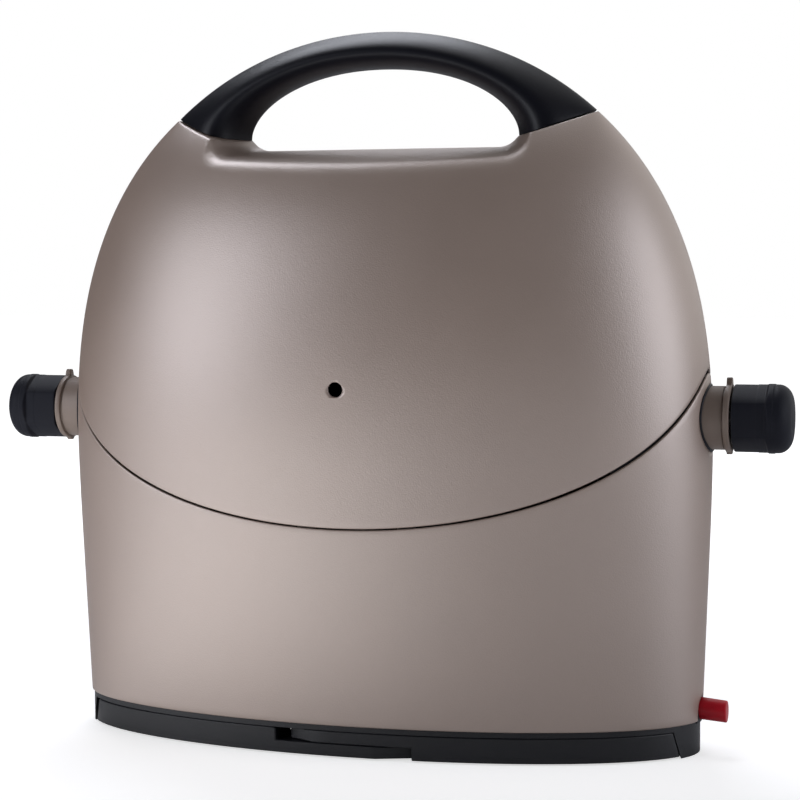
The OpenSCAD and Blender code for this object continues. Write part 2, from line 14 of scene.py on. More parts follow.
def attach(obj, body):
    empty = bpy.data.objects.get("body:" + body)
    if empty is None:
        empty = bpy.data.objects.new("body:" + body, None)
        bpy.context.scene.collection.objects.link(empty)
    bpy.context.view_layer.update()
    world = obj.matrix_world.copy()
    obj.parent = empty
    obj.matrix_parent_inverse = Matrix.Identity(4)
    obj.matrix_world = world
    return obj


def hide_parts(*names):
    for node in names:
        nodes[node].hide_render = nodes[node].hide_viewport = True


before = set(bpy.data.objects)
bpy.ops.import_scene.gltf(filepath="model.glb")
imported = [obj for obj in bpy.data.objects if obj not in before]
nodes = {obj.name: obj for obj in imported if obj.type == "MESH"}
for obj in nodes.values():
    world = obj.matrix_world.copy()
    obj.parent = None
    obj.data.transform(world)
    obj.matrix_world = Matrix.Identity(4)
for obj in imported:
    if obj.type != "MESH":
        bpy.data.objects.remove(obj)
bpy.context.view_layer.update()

# %% [markdown]
# ## The camera
# A product shot like this is taken with a long lens from a little above the middle of the object.
# The angles, the distance and the focal length could be guessed by eye. Here they come from a fit of
# the object's outline, and the small lens shift only puts the object where the frame has it.

# %% Camera
MM = 0.001
PICTURE_PX = 800
SENSOR = 36.0
TURN, RISE, ROLL = np.radians([16.92, 4.17, -0.36])
AIM = np.array([0.0, 0.0, 190.0])
DISTANCE = 1207.7
FOCAL_PX = 2171.2
SHIFT = (0.0190, -0.0063)


def level_axes(back):
    """Level axis and upward axis of something that looks against the direction back."""
    level = np.cross([0.0, 0.0, 1.0], back)
    level /= np.linalg.norm(level)
    return level, np.cross(back, level)


def placed(side, top, back, where_mm):
    """Matrix that turns X, Y and Z to three directions and moves to a place in millimetres."""
    pose = np.eye(4)
    pose[:3, :3] = np.stack([side, top, back], -1)
    pose[:3, 3] = where_mm*MM
    return Matrix(pose.tolist())


back = np.array([np.sin(TURN)*np.cos(RISE), -np.cos(TURN)*np.cos(RISE), np.sin(RISE)])
level, upward = level_axes(back)
side = level*np.cos(ROLL) + upward*np.sin(ROLL)
top = upward*np.cos(ROLL) - level*np.sin(ROLL)
eye = AIM + back*DISTANCE

camera_data = bpy.data.cameras.new("camera")
camera_data.sensor_width = SENSOR
camera_data.lens = SENSOR*FOCAL_PX/PICTURE_PX
camera_data.shift_x, camera_data.shift_y = SHIFT
camera = bpy.data.objects.new("camera", camera_data)
bpy.context.scene.collection.objects.link(camera)
camera.matrix_world = placed(side, top, back, eye)
bpy.context.scene.camera = camera
print("camera height in mm", round(float(eye[2]), 1))

# %% [markdown]
# ## From a grid of points to a piece
# Every new piece below is a grid: rows one way, columns the other. Blender could be fed point by
# point with bmesh, but whole arrays are faster and leave no loop to get wrong. The signed volume
# tells whether the faces look outward, so one test turns an inside-out piece round.

# %% Grid helpers
SHARP_DEG = 35


def full_turn(steps):
    """Angles of a full turn in equal steps; the last step leads back to the first angle."""
    return np.linspace(0, 2*np.pi, steps, endpoint=False)


def grid_quads(rows, cols, wrap_rows=False, wrap_cols=False):
    """Index quads of a rows by cols grid; a wrapped direction joins its last line to its first."""
    r = np.arange(rows if wrap_rows else rows - 1)[:, None]
    c = np.arange(cols if wrap_cols else cols - 1)[None, :]
    r2, c2 = (r + 1) % rows, (c + 1) % cols
    return np.stack([r*cols + c, r*cols + c2, r2*cols + c2, r2*cols + c], -1).reshape(-1, 4)


def capped_faces(rows, cols):
    """Faces of a tube of rows by cols points, with one flat face over each end ring."""
    ends = [list(range(cols))[::-1], list(range((rows - 1)*cols, rows*cols))]
    return grid_quads(rows, cols, False, True).tolist() + ends


def signed_volume(points, faces):
    """Sum over triangle fans of a . (b x c) / 6, which is positive when the faces look outward."""
    tris = np.array([(f[0], f[k], f[k + 1]) for f in faces for k in range(1, len(f) - 1)])
    a, b, c = points[tris[:, 0]], points[tris[:, 1]], points[tris[:, 2]]
    return float(np.einsum("ij,ij->i", a, np.cross(b, c)).sum()/6)


def make_piece(name, points, faces, finish, sharp_deg=SHARP_DEG):
    """Object at the origin from points in millimetres, with its faces turned outward.

    An edge that bends by less than sharp_deg is shaded smooth.
    """
    points = np.asarray(points, float).reshape(-1, 3)
    faces = [list(map(int, f)) for f in faces]
    if signed_volume(points, faces) < 0:
        faces = [f[::-1] for f in faces]
    mesh = bpy.data.meshes.new(name)
    mesh.from_pydata((points*MM).tolist(), [], faces)
    mesh.validate()
    mesh.shade_smooth()
    mesh.set_sharp_from_angle(angle=np.radians(sharp_deg))
    mesh.materials.append(finish)
    piece = bpy.data.objects.new(name, mesh)
    bpy.context.scene.collection.objects.link(piece)
    print(name, len(mesh.vertices), "points,", len(mesh.polygons), "faces")
    return piece


def settle(piece, body, slot, *replaced):
    """The piece moves with body and stands for the replaced CAD nodes, which are hidden; slot is not
    used.
    """
    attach(piece, body)
    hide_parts(*replaced)
    return piece


def cut_away(piece, cutter):
    """Takes the cutter's volume out of the piece for good, and removes the cutter."""
    knife = piece.modifiers.new("cut", "BOOLEAN")
    knife.operation, knife.solver, knife.object = "DIFFERENCE", "EXACT", cutter
    bpy.context.view_layer.update()
    whole = piece.evaluated_get(bpy.context.evaluated_depsgraph_get())
    mesh = bpy.data.meshes.new_from_object(whole)
    piece.modifiers.clear()
    piece.data = mesh
    bpy.data.objects.remove(cutter)


# %% [markdown]
# ## Finishes
# The pressings carry a satin champagne paint with a fine metallic grain, the mouldings are matt black
# plastic with a spark-eroded grain, and inside there is steel, brass and a dark cast plate. One flat
# colour would look like a toy. Each finish is a Principled surface. A fine and a broad noise in object
# space vary its colour and its roughness, and the fine one its height, at the scale of the real grain.

# %% Finish builder
PATCHES_PER_M = 22
FINE_DETAIL, BROAD_DETAIL = 3, 4
EQUAL_SHARE = 0.5
DARK_AT, LIGHT_AT = 0.3, 0.7


def add_node(tree, kind, values, operation=None):
    """New shader node; values gives an input, by name or number, a number, a tuple or a socket."""
    node = tree.nodes.new("ShaderNode" + kind)
    if operation:
        node.operation = operation
    for name, value in values.items():
        if isinstance(value, bpy.types.NodeSocket):
            tree.links.new(value, node.inputs[name])
        else:
            node.inputs[name].default_value = value
    return node


def tinted(colour, factor):
    """A colour made lighter or darker by a factor, with full alpha."""
    return tuple(min(1.0, c*factor) for c in colour) + (1.0,)


def make_finish(name, colour, metallic, roughness, grain_mm, relief, mottle=0.06, rough_spread=0.06,
                stretch=(1, 1, 1), gloss=0.5, ior=1.5):
    """Principled surface: two noises move colour and roughness, the fine one also the height.

    A stretch below 1 draws the fine grain out along that axis, as brushing does.
    """
    finish = bpy.data.materials.new(name)
    finish.use_nodes = True
    tree = finish.node_tree
    place = add_node(tree, "TexCoord", {}).outputs["Object"]
    brushed = add_node(tree, "Mapping", {"Vector": place, "Scale": stretch}).outputs["Vector"]
    fine_values = {"Vector": brushed, "Scale": 1/(grain_mm*MM), "Detail": FINE_DETAIL}
    fine = add_node(tree, "TexNoise", fine_values).outputs["Fac"]
    broad_values = {"Vector": place, "Scale": PATCHES_PER_M, "Detail": BROAD_DETAIL}
    broad = add_node(tree, "TexNoise", broad_values).outputs["Fac"]
    half = add_node(tree, "Math", {0: broad, 1: EQUAL_SHARE}, "MULTIPLY").outputs[0]
    both = add_node(tree, "Math", {0: fine, 1: EQUAL_SHARE, 2: half}, "MULTIPLY_ADD").outputs[0]

    shade = add_node(tree, "ValToRGB", {"Fac": both})
    dark, light = shade.color_ramp.elements
    dark.position, light.position = DARK_AT, LIGHT_AT
    dark.color, light.color = tinted(colour, 1 - mottle), tinted(colour, 1 + mottle)
    rough_values = {"Value": both, "To Min": roughness - rough_spread,
                    "To Max": roughness + rough_spread}
    rough = add_node(tree, "MapRange", rough_values)
    bump = add_node(tree, "Bump", {"Height": fine, "Strength": relief, "Distance": grain_mm*MM})

    shader = tree.nodes["Principled BSDF"]
    shader.inputs["Metallic"].default_value = metallic
    shader.inputs["Specular IOR Level"].default_value = gloss
    shader.inputs["IOR"].default_value = ior
    tree.links.new(shade.outputs["Color"], shader.inputs["Base Color"])
    tree.links.new(rough.outputs["Result"], shader.inputs["Roughness"])
    tree.links.new(bump.outputs["Normal"], shader.inputs["Normal"])
    return finish


# %% [markdown]
# With the builder ready, a finish is one call. The numbers could be typed into the shader editor, but
# side by side in a list they are easier to compare: the colours are linear, the grain is in
# millimetres, and gloss or index is given only where the real surface differs from plain plastic.

# %% The finishes of this grill
champagne_paint = make_finish("champagne_paint", (0.328, 0.237, 0.191), metallic=0.25, roughness=0.42,
                              grain_mm=0.70, relief=0.18, mottle=0.05, gloss=0.9, ior=2.1)
# A darker copy of the body paint for the collars: painted shade, as they sit shaded between ear and
# knob.
shaded_collar_paint = make_finish("shaded_collar_paint", (0.20, 0.153, 0.126), metallic=0.10, roughness=0.46,
                           grain_mm=0.55, relief=0.10, mottle=0.05)
black_moulding = make_finish("black_moulding", (0.0036, 0.0038, 0.0076), metallic=0.0, roughness=0.41,
                             grain_mm=0.45, relief=0.16, mottle=0.18, rough_spread=0.05, gloss=0.24)
knob_moulding = make_finish("knob_moulding", (0.0090, 0.0096, 0.0150), metallic=0.0, roughness=0.56,
                            grain_mm=0.45, relief=0.16, mottle=0.18, rough_spread=0.05, gloss=0.15)
black_base = make_finish("black_base", (0.0075, 0.0079, 0.0105), metallic=0.0, roughness=0.44,
                         grain_mm=0.60, relief=0.18, mottle=0.18, gloss=0.45)
bright_steel = make_finish("bright_steel", (0.55, 0.55, 0.55), metallic=1.0, roughness=0.30,
                           grain_mm=0.5, relief=0.10, mottle=0.08, rough_spread=0.09,
                           stretch=(1, 1, 0.03))
heated_steel = make_finish("heated_steel", (0.42, 0.40, 0.38), metallic=1.0, roughness=0.36,
                           grain_mm=0.6, relief=0.12, mottle=0.14, rough_spread=0.10,
                           stretch=(0.04, 1, 1))
cast_coating = make_finish("cast_coating", (0.035, 0.035, 0.037), metallic=0.15, roughness=0.48,
                           grain_mm=0.9, relief=0.28, mottle=0.30, rough_spread=0.08)
turned_brass = make_finish("turned_brass", (0.62, 0.43, 0.16), metallic=1.0, roughness=0.28,
                           grain_mm=0.5, relief=0.08, mottle=0.10, rough_spread=0.08,
                           stretch=(0.05, 1, 1))
foot_rubber = make_finish("foot_rubber", (0.018, 0.018, 0.019), metallic=0.0, roughness=0.75,
                          grain_mm=0.8, relief=0.30, mottle=0.20, rough_spread=0.08)
red_vinyl = make_finish("red_vinyl", (0.50, 0.006, 0.018), metallic=0.0, roughness=0.38, grain_mm=0.7,
                        relief=0.10, mottle=0.08, gloss=0.35)
print("finishes", len(bpy.data.materials))

# %% [markdown]
# ## The curves of the body
# The three pressings are one shape cut in three. Seen from the front it is a barrel whose top follows
# the arch of the handle, and every level is an ellipse. Two curves say it all: the half width and the
# half depth at a level. The smile seam comes from a third one: it rises with the distance from the
# front, so the ears reach up to the knobs.

# %% Body curves
BODY_W, FOOT_W, BODY_D, FOOT_D = 364.6, 354.6, 181.2, 137.8
BASE_H, TOTAL_H, WALL = 17.8, 390.0, 1.6
WAIST_Z, DEPTH_Z, DOME_CLOSE = 150.0, 200.0, 198.0
ARCH_POWER, RIDGE_POWER = 2.7, 3
SEAM_Z, EAR_TOP, EAR_ROUND, PART_GAP = 124.4, 204.4, 16.0, 0.15
SEAM_GAP, SEAM_CLOSES = 2.3, 1.7
WAIST_EASE, DEPTH_EASE = 1.3, 5.4
KNOB_Z = 180.65
SIDES = (("left", -1), ("right", 1))


def soft_min(a, b, band):
    """Smaller of two values, rounded off where they are closer than the band."""
    return np.minimum(a, b) - np.maximum(band - np.abs(a - b), 0)**2/(4*band)


def smooth_step(x):
    """0 below 0, 1 above 1, and a cubic ease between them."""
    x = np.clip(x, 0, 1)
    return x*x*(3 - 2*x)


def half_width(z):
    """Straight flare eased into an upright wall, times a superellipse that closes at the top."""
    flare = FOOT_W/2 + (BODY_W - FOOT_W)/2*(z - BASE_H)/(WAIST_Z - BASE_H)
    share = np.clip((z - WAIST_Z)/(TOTAL_H - WAIST_Z), 0, 1)
    return soft_min(flare, BODY_W/2, WAIST_EASE)*np.sqrt(1 - share**ARCH_POWER)


def half_depth(z):
    """Straight flare eased into an upright wall, times a cubic dome that closes at the ridge."""
    flare = FOOT_D/2 + (BODY_D - FOOT_D)/2*(z - BASE_H)/(DEPTH_Z - BASE_H)
    share = np.clip((z - WAIST_Z)/DOME_CLOSE, 0, 1)
    return soft_min(flare, BODY_D/2, DEPTH_EASE)*np.sqrt(1 - share**RIDGE_POWER)


def arch_height(x):
    """Height of the silhouette at a distance from the middle: the half width turned round."""
    return WAIST_Z + (TOTAL_H - WAIST_Z)*np.maximum(0, 1 - (x/(BODY_W/2))**2)**(1/ARCH_POWER)


def seam_height(angle):
    """Level of the seam at a plan angle: a line in depth, rounded over the ear, in two steps."""
    reach = np.sqrt(half_depth(np.float64(SEAM_Z))**2 + EAR_ROUND**2)
    slope = (EAR_TOP - SEAM_Z)/(reach - EAR_ROUND)
    y = half_depth(np.float64(WAIST_Z))*np.sin(angle)
    for _ in range(2):
        z = SEAM_Z + slope*(reach - np.sqrt(y**2 + EAR_ROUND**2))
        y = half_depth(z)*np.sin(angle)
    return z


EAR_X = float(half_width(np.float64(KNOB_Z)))
ear_seam = float(seam_height(np.float64(0.0)))
print("ear at", round(EAR_X, 2), "seam from", SEAM_Z, "to", round(ear_seam, 1))

# %% [markdown]
# ## Sheet metal with a rolled edge
# A pressing is a thin sheet, and its edge is not a knife: it is rolled round. Solidify with a bevel
# would do, but then the edge loop has to be found again. Here an outer and an inner grid are joined
# over half circles, so the rounded edge is part of the same grid.

# %% Rolled sheet
ROLL_STEPS = 7


def roll_over(outer, inner, before):
    """Half circle from the outer to the inner edge line, bulging the way the sheet was heading."""
    middle, half = (outer + inner)/2, (outer - inner)/2
    radius = np.linalg.norm(half, axis=-1, keepdims=True)
    ahead = outer - before
    ahead /= np.linalg.norm(ahead, axis=-1, keepdims=True)
    beta = np.linspace(0, np.pi, ROLL_STEPS)[1:-1, None, None]
    return middle + half*np.cos(beta) + ahead*radius*np.sin(beta)


def sheet_grid(outer, inner, closed, roll_top):
    """Points and faces of a sheet between two grids, rolled below and, if asked, above.

    A sheet that isn't closed all round also gets a flat strip along both its ends.
    """
    low = roll_over(outer[0], inner[0], outer[1])
    loop = [outer]
    if roll_top:
        loop.append(roll_over(outer[-1], inner[-1], outer[-2]))
    loop += [inner[::-1], low[::-1]]
    points = np.concatenate(loop)
    rows, cols = points.shape[:2]
    faces = grid_quads(rows, cols, True, closed).tolist()
    if not closed:
        n = len(outer)
        first_in = rows - len(low) - n
        a = np.arange(n)
        b = first_in + n - 1 - a
        lip = list(range(rows - len(low), rows))
        for c in (0, cols - 1):
            strip = np.stack([a[:-1], a[1:], b[1:], b[:-1]], -1)*cols + c
            strip = strip if c else strip[:, ::-1]
            faces += strip.tolist()
            end = [(k*cols + c) for k in [b[0], *lip, a[0]]]
            faces.append(end if c else end[::-1])
    return points, faces


# %% [markdown]
# ## The tub
# The lower pressing is a bath with two ears that carry the knobs. It could be a lofted curve object;
# as a grid of plan angle and height it follows the body curves to the last point. Round bores let the
# collars through, and an arched notch at the right clears the gas inlet.

# %% Tub
COLLAR_D, INLET_Z, NOTCH_R = 34.0, 24.0, 7.8
BORE_PLAY = 1.2
CUT_FROM, CUT_TO = 150, 205


def tub_skin(inset, rows=48, cols=320):
    """Grid of the tub: x and y on the level's ellipse at a plan angle, z from base to seam."""
    angle = full_turn(cols)[None, :]
    low, high = BASE_H + WALL/2, seam_height(angle) - WALL/2
    z = low + (high - low)*np.linspace(0, 1, rows)[:, None]
    wide, deep = half_width(z) - inset, half_depth(z) - inset
    return np.stack([wide*np.cos(angle), deep*np.sin(angle), z], -1)


def prism(name, section, start, end):
    """Cutting tool between two places of one closed section."""
    points = np.concatenate([section + start, section + end])
    return make_piece(name, points, capped_faces(2, len(section)), champagne_paint)


def rod_along_x(name, x0, x1, radius, z, steps=96):
    """Round cutting tool along X for the collars' bores."""
    a = full_turn(steps)
    ring = np.stack([np.zeros(steps), radius*np.cos(a), z + radius*np.sin(a)], -1)
    return prism(name, ring, [x0, 0, 0], [x1, 0, 0])


def notch_cutter(x0, x1, radius, z, steps=25):
    """Cutting tool along X with an arched top and straight sides down below the base."""
    a = np.linspace(0, np.pi, steps)
    y = np.concatenate([radius*np.cos(a), [-radius, radius]])
    h = np.concatenate([z + radius*np.sin(a), [0, 0]])
    section = np.stack([np.zeros(len(y)), y, h], -1)
    return prism("notch", section, [x0, 0, 0], [x1, 0, 0])


tub = make_piece("tub", *sheet_grid(tub_skin(0), tub_skin(WALL), True, True), champagne_paint)
for which, sign in SIDES:
    bore = rod_along_x(which + "_bore", sign*CUT_FROM, sign*CUT_TO, COLLAR_D/2 + BORE_PLAY, KNOB_Z)
    cut_away(tub, bore)
cut_away(tub, notch_cutter(CUT_FROM, CUT_TO, NOTCH_R, INLET_Z))
settle(tub, "base", "body_paint", "tub_shell")
print("tub after cutting", len(tub.data.polygons), "faces")

# %% [markdown]
# Behind the seam a lip stands up inside the wing's edge, so no light shows through the gap. Its black
# is painted shade: it makes the seam show as a dark line. The lip could be folded from the tub's own
# sheet; a narrow strip of its own on each side is simpler, and it stops short of the hinges, where the
# wing's edge swings inward.

# %% Inner lip
LIP_BELOW, LIP_ABOVE, LIP_T, LIP_STEP = 5.0, 3.4, 0.7, 1.3
LIP_REACH = np.radians(40)
LIP_LAP, LIP_BEND = 0.1, 0.5


def lip_skin(inset, rows=9, cols=120):
    """Strip along the seam at the right ear: v climbs from 0 to 1 and the strip steps inward."""
    angle = np.linspace(-LIP_REACH, LIP_REACH, cols)[None, :]
    v = np.linspace(0, 1, rows)[:, None]
    z = seam_height(angle) - LIP_BELOW + (LIP_BELOW + LIP_ABOVE)*v
    behind = WALL - LIP_LAP + LIP_STEP*smooth_step(v/LIP_BEND) + inset
    wide, deep = half_width(z) - behind, half_depth(z) - behind
    return np.stack([wide*np.cos(angle), deep*np.sin(angle), z], -1)


lip_points = np.concatenate([lip_skin(0), lip_skin(LIP_T)[::-1]])
lip_rows, lip_cols = lip_points.shape[:2]
lip_end = np.arange(lip_rows)*lip_cols
lip_faces = grid_quads(lip_rows, lip_cols, True, False).tolist()
lip_faces += [lip_end.tolist(), (lip_end + lip_cols - 1)[::-1].tolist()]
for which, sign in SIDES:
    # The black finish here is painted shade for the seam line.
    lip = make_piece(which + "_tub_lip", lip_points*[sign, 1, 1], lip_faces, black_base)
    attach(lip, "base")

# %% [markdown]
# ## The wings
# Each wing is half a dome. Its top is scooped out to make room for a hand under the grip, and its two
# shoulders are cut flat where the handle stands. Sculpting or a Boolean would leave a hard edge. A
# height formula with a smooth minimum gives the soft lip of a pressing: every point of the dome is
# lowered to the scoop where that is lower.

# %% Wing
SADDLE_Z, SCOOP_FALL, SCOOP_POWER = 326.0, 0.0226, 1.5
LEG_IN_X, LEG_IN_Z, LEG_SLOPE, LEG_FALL = 77.0, 332.0, 0.28, 0.12
WALL_X, WALL_FLARE, FILLET_R, FILLET_GROW = 78.5, 0.40, 13.0, 0.10
LIP_SOFT, SEAT_SOFT, SEAT_EDGE = 6.0, 0.8, 0.2
SEAT_FROM, SEAT_BAND = 0.75, 0.2
HOLE_D, HOLE_Z, HOLE_FROM, HOLE_TO = 8.0, 199.0, 70, 110
TINY = 1e-12


def scoop_height(x, y):
    """Scoop floor that falls towards the lip, with a round fillet at both ends under the legs' seat.

    The second result is 0 in the scoop and 1 on the seat.
    """
    ax, ay = np.abs(x), np.abs(y)
    floor = SADDLE_Z - SCOOP_FALL*ay**SCOOP_POWER
    seat = LEG_IN_Z + LEG_SLOPE*(ax - LEG_IN_X) - LEG_FALL*ay
    radius = FILLET_R + FILLET_GROW*ay
    into = np.clip((ax - WALL_X - WALL_FLARE*ay)/radius + 1, 0, 1)
    fillet = floor + radius*(1 - np.sqrt(1 - into**2))
    fillet = np.where(into > 0, soft_min(fillet, seat, SEAT_SOFT), floor)
    return np.where(into < 1, fillet, seat), smooth_step((into - SEAT_FROM)/SEAT_BAND)


def wing_skin(rows=150, cols=260):
    """Dome grid of plan angle and height, denser to the ridge, lowered to the scoop."""
    angle = np.linspace(np.pi, 2*np.pi, cols)[None, :]
    gap = SEAM_GAP - SEAM_CLOSES*np.sin(angle)**2
    low, high = seam_height(angle) + gap + WALL/2, WAIST_Z + DOME_CLOSE
    u = np.linspace(0, 1, rows)[:, None]
    z = low + (high - low)*(1 - (1 - u)**2)
    x = half_width(z)*np.cos(angle)
    y = half_depth(z)*np.sin(angle) - PART_GAP
    scoop, share = scoop_height(x, y)
    soft = LIP_SOFT*(1 - share) + SEAT_EDGE*share
    return np.stack([x, y, soft_min(z, scoop, soft)], -1)


def inner_skin(outer, inset):
    """The outer grid moved inward along its normals, held flat on the parting plane."""
    across = np.gradient(outer, axis=1)
    along = np.gradient(outer, axis=0)
    normal = np.cross(across, along)
    normal /= np.maximum(np.linalg.norm(normal, axis=-1, keepdims=True), TINY)
    inner = outer - inset*normal
    inner[-1, :, 1] = inner[:, 0, 1] = inner[:, -1, 1] = -PART_GAP
    inner[..., 1] = np.minimum(inner[..., 1], -PART_GAP)
    return inner


def turned_round(points):
    """Half a turn about Z, which makes the rear piece from the front one."""
    return points*np.array([-1.0, -1.0, 1.0])


def rod_along_y(name, y0, y1, radius, z, steps=48):
    """Round cutting tool along Y for the lighting hole."""
    a = full_turn(steps)
    ring = np.stack([radius*np.cos(a), np.zeros(steps), z + radius*np.sin(a)], -1)
    return prism(name, ring, [0, y0, 0], [0, y1, 0])


dome = wing_skin()
wing_points, wing_faces = sheet_grid(dome, inner_skin(dome, WALL), False, False)
for which, shape, sign in (("front", wing_points, -1), ("rear", turned_round(wing_points), 1)):
    wing = make_piece(which + "_wing_skin", shape, wing_faces, champagne_paint)
    cut_away(wing, rod_along_y("hole", sign*HOLE_FROM, sign*HOLE_TO, HOLE_D/2, HOLE_Z))
    settle(wing, which + "_wing", "body_paint", which + "_shell")

# %% [markdown]
# ## The handle
# Two black half arches meet in the middle plane. Seen from the front each follows the arch of the
# body, and it grows from a rounded grip into broad legs that end flush with the shoulders. A swept
# curve with a fixed profile can't widen that way. Here a section runs from the outer to the inner edge
# at every station, and its depth eases from a round grip to the depth of the dome below.

# %% Handle
LEG_OUT_X, GRIP_UNDER, GRIP_DEPTH = 119.5, 369.5, 18.0
BROW, BROW_SOFT = 0.42, 13.0
INNER_SIDE, CORNER_SOFT = 0.34, 0.70
SWEEP = np.radians(80)
SEAT_GAP = 0.1
UNDER_POWER, UNDER_ROOT = 2.1, 0.53
CROWD_POWER, SPREAD_POWER, END_POWER = 0.8, 2.6, 10
GRIP_SHARP = 50


def handle_grid(stations=161, around=37):
    """Section points from the outer to the inner arch, station by station.

    e goes from 0 at the outer to 1 at the inner edge. The depth is a sloped brow over a round belly
    in the grip, and eases into the depth of the dome at the legs.
    """
    s = np.linspace(-1, 1, stations)[:, None]
    psi = np.linspace(0, np.pi, around)[None, :]
    swing = np.sin(SWEEP*s)/np.sin(SWEEP)
    out_x = LEG_OUT_X*swing
    in_x = LEG_IN_X*swing
    rise = np.maximum(0, 1 - np.abs(swing)**UNDER_POWER)**UNDER_ROOT
    in_z = LEG_IN_Z + (GRIP_UNDER - LEG_IN_Z)*rise
    e = (1 - np.sign(np.cos(psi))*np.abs(np.cos(psi))**CROWD_POWER)/2
    x = out_x + (in_x - out_x)*e
    z = arch_height(out_x) + (in_z - arch_height(out_x))*e
    below = np.clip((e - BROW)/(1 - BROW), 0, 1)
    grip = soft_min(GRIP_DEPTH*e/BROW, GRIP_DEPTH*np.sqrt(1 - below**2), BROW_SOFT)
    grip = np.maximum(grip, 0)
    seat_x = LEG_OUT_X + (LEG_IN_X - LEG_OUT_X)*e
    out_z = arch_height(np.float64(LEG_OUT_X))
    seat_z = out_z + (LEG_IN_Z - out_z)*e
    flush = half_depth(seat_z)*np.sqrt(np.maximum(0, 1 - (seat_x/half_width(seat_z))**2))
    corner = soft_min(1.0, (1 - e)/INNER_SIDE, CORNER_SOFT)
    spread = np.abs(s)**SPREAD_POWER
    depth = grip*(1 - spread) + flush*corner*spread
    near_seat = np.abs(s)**END_POWER
    z = z - LEG_FALL*depth*near_seat + SEAT_GAP*near_seat
    return np.stack([x, -PART_GAP - depth, z], -1)


arch = handle_grid()
arch_faces = capped_faces(*arch.shape[:2])
for which, shape in (("front", arch), ("rear", turned_round(arch))):
    grip_half = make_piece(which + "_grip", shape, arch_faces, black_moulding, GRIP_SHARP)
    settle(grip_half, which + "_wing", "black_plastic", which + "_handle")

# %% [markdown]
# ## Knobs and collars
# The knobs are turned bodies with six finger flats and a domed end, and each runs against a painted
# collar whose thin flange carries two small pointer lugs. A lathe profile alone gives a plain drum, so
# the radius is a function of the angle as well: the flats are a smooth minimum of the drum and a
# hexagon.

# %% Knobs
COLLAR_REACH, KNOB_PLAY = 11.0, 1.2
COLLAR_OUT = EAR_X + COLLAR_REACH
KNOB_X, KNOB_L, KNOB_R = COLLAR_OUT + KNOB_PLAY, 31.3, 18.5
RING_AT, RING_STEP, RING_EASE = 12.3, 0.25, 0.8
RIM_AT, RIM_STEP, RIM_EASE = 21.2, 0.3, 0.5
FLAT_R, FLAT_END, FLAT_RAMP, FLAT_SOFT = 16.9, 17.2, 2.3, 3.0
DOME_L, DOME_R, CROWN, BACK_EDGE = 7.6, 9.5, 0.6, 0.3
BACK_ROWS, DRUM_ROWS, DOME_ROWS, CROWN_ROWS = 8, 90, 26, 8
BACK_FROM, BACK_TO, CROWN_END = 0.05, 0.97, 0.03
KNOB_SHARP = 45


def knob_grid(cols=288):
    """Drum with a raised ring and a domed end, cut by six flats with a smooth minimum.

    along is the distance from the knob's back, and share is what the row keeps of the full radius.
    """
    rim_x = KNOB_L - CROWN - DOME_L
    arc = np.linspace(0, np.pi/2, DOME_ROWS)[1:]
    crown = np.linspace(1, CROWN_END, CROWN_ROWS)[1:]
    along = np.concatenate([
        np.zeros(BACK_ROWS), np.linspace(0, rim_x, DRUM_ROWS), rim_x + DOME_L*np.sin(arc),
        KNOB_L - CROWN*crown**2])[:, None]
    share = np.concatenate([
        np.linspace(BACK_FROM, BACK_TO, BACK_ROWS), np.ones(DRUM_ROWS),
        (DOME_R + (KNOB_R - DOME_R)*np.cos(arc))/KNOB_R, DOME_R/KNOB_R*crown])[:, None]
    a = full_turn(cols)[None, :]
    ring = RING_STEP*(1 - smooth_step((along - RING_AT)/RING_EASE))
    rim = RIM_STEP*smooth_step((along - RIM_AT)/RIM_EASE)
    drum = KNOB_R - ring - rim - BACK_EDGE*np.exp(-along/BACK_EDGE)
    off_flat = (a + np.pi/6) % (np.pi/3) - np.pi/6
    ramp = (KNOB_R - FLAT_R + FLAT_SOFT)*smooth_step((along - FLAT_END)/FLAT_RAMP)
    r = soft_min(drum, (FLAT_R + ramp)/np.cos(off_flat), FLAT_SOFT)*share
    x = np.broadcast_to(KNOB_X + along, r.shape)
    return np.stack([x, r*np.cos(a), KNOB_Z + r*np.sin(a)], -1)


drum = knob_grid()
drum_faces = capped_faces(*drum.shape[:2])
for which, sign in SIDES:
    knob = make_piece(which + "_knob", drum*[sign, 1, 1], drum_faces, knob_moulding, KNOB_SHARP)
    settle(knob, "knob_" + which, "black_plastic", "knob_" + which)

# %% [markdown]
# The collar is a short painted tube. Its lugs could be small boxes joined on, but as a bump of the
# flange's radius at two angles they grow out of the ring the way a casting does.

# %% Collars
FLANGE_AT, FLANGE_STEP = 8.0, 1.15
COLLAR_IN, FLANGE_X, FLANGE_R = EAR_X - COLLAR_REACH, EAR_X + FLANGE_AT, COLLAR_D/2 + FLANGE_STEP
LUG_UP, LUG_DOWN = 3.5, 1.2
UP_HALF, DOWN_HALF = np.radians([6.8, 6.0])
COLLAR_WALL, GROOVE = 4, 0.6
COLLAR_SHARP = 50


